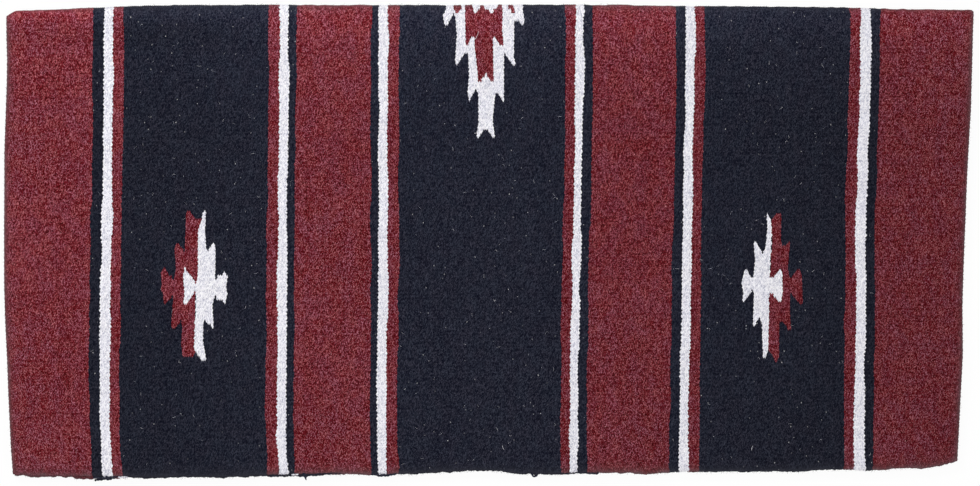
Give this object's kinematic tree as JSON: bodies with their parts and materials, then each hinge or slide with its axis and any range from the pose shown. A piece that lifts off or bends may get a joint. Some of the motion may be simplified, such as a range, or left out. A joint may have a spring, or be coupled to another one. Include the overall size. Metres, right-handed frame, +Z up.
{
  "type": "saddle blanket",
  "caption": "Flat-woven saddle blanket with stripes, stepped stars and a lozenge, folded in half; the upper leaf opens about the fold to lie flat.",
  "frame": {"origin": "middle of the underside, on the ground, under the middle of the folded blanket's box", "axes": "+X across the stripes, +Y towards the fold, +Z up"},
  "size_m": [0.9154, 0.446, 0.0154],
  "materials": {
    "red_weft": "matt wool weft",
    "black_weft": "matt wool weft",
    "white_weft": "matt wool weft",
    "fold_weft": "matt wool weft of all the bands, where they turn over the fold",
    "warp_cotton": "undyed twisted cord"
  },
  "bodies": {
    "under_leaf": {"black_weft_centre_under": "black_weft", "black_weft_left_under": "black_weft", "black_weft_right_under": "black_weft", "end_field_left_under": "red_weft", "end_field_right_under": "red_weft", "fold_turn_under": "fold_weft", "fold_warp_under": "warp_cotton", "inner_field_left_under": "red_weft", "inner_field_right_under": "red_weft", "lozenge_red_under": "red_weft", "lozenge_white_under": "white_weft", "red_stripe_centre_left_under": "red_weft", "red_stripe_centre_right_under": "red_weft", "red_stripe_left_inner_under": "red_weft", "red_stripe_left_outer_under": "red_weft", "red_stripe_right_inner_under": "red_weft", "red_stripe_right_outer_under": "red_weft", "star_red_left_under": "red_weft", "star_red_right_under": "red_weft", "star_white_left_under": "white_weft", "star_white_right_under": "white_weft", "warp_cord_under": "warp_cotton", "white_stripe_centre_left_under": "white_weft", "white_stripe_centre_right_under": "white_weft", "white_stripe_left_inner_under": "white_weft", "white_stripe_left_outer_under": "white_weft", "white_stripe_right_inner_under": "white_weft", "white_stripe_right_outer_under": "white_weft"},
    "upper_leaf": {"black_weft_centre_upper": "black_weft", "black_weft_left_upper": "black_weft", "black_weft_right_upper": "black_weft", "end_field_left_upper": "red_weft", "end_field_right_upper": "red_weft", "fold_turn_upper": "fold_weft", "fold_warp_upper": "warp_cotton", "inner_field_left_upper": "red_weft", "inner_field_right_upper": "red_weft", "lozenge_red_upper": "red_weft", "lozenge_white_upper": "white_weft", "red_stripe_centre_left_upper": "red_weft", "red_stripe_centre_right_upper": "red_weft", "red_stripe_left_inner_upper": "red_weft", "red_stripe_left_outer_upper": "red_weft", "red_stripe_right_inner_upper": "red_weft", "red_stripe_right_outer_upper": "red_weft", "star_red_left_upper": "red_weft", "star_red_right_upper": "red_weft", "star_white_left_upper": "white_weft", "star_white_right_upper": "white_weft", "warp_cord_upper": "warp_cotton", "white_stripe_centre_left_upper": "white_weft", "white_stripe_centre_right_upper": "white_weft", "white_stripe_left_inner_upper": "white_weft", "white_stripe_left_outer_upper": "white_weft", "white_stripe_right_inner_upper": "white_weft", "white_stripe_right_outer_upper": "white_weft"}
  },
  "joints": [
    {"name": "fold_hinge", "type": "hinge", "parent": "under_leaf", "child": "upper_leaf", "pos_m": [0, 0.21547, 0.0077], "axis": [-1, 0, 0], "range_deg": [0, 180], "deforming": ["fold_turn_under", "fold_turn_upper", "fold_warp_under", "fold_warp_upper"]}
  ]
}
